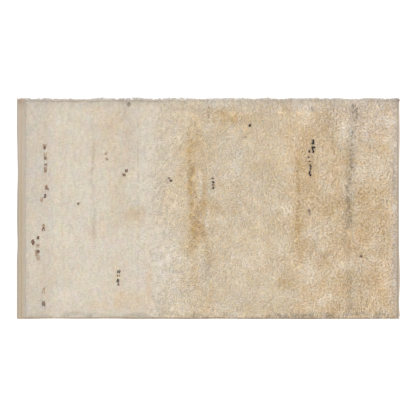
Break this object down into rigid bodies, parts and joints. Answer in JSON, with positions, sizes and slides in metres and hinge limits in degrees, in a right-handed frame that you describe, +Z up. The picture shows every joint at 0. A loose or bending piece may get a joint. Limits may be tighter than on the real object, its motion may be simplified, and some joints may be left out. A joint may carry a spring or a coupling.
{
  "type": "tulu rug",
  "caption": "Hand-knotted long-pile wool rug lying flat, worn low at one end and shaggy at the other, with a turned-under flat-woven hem at each end and loose locks over its rim.",
  "frame": {"origin": "on the floor under the middle of the rug", "axes": "+X along the warps, from the worn end to the deep-piled end; +Y along the wefts; +Z up through the pile"},
  "size_m": [2.114, 1.2308, 0.0303],
  "materials": {
    "undyed_wool": "matte undyed wool pile, cream to honey beige"
  },
  "bodies": {
    "root": {"tulu_rug": "undyed_wool"}
  },
  "joints": []
}
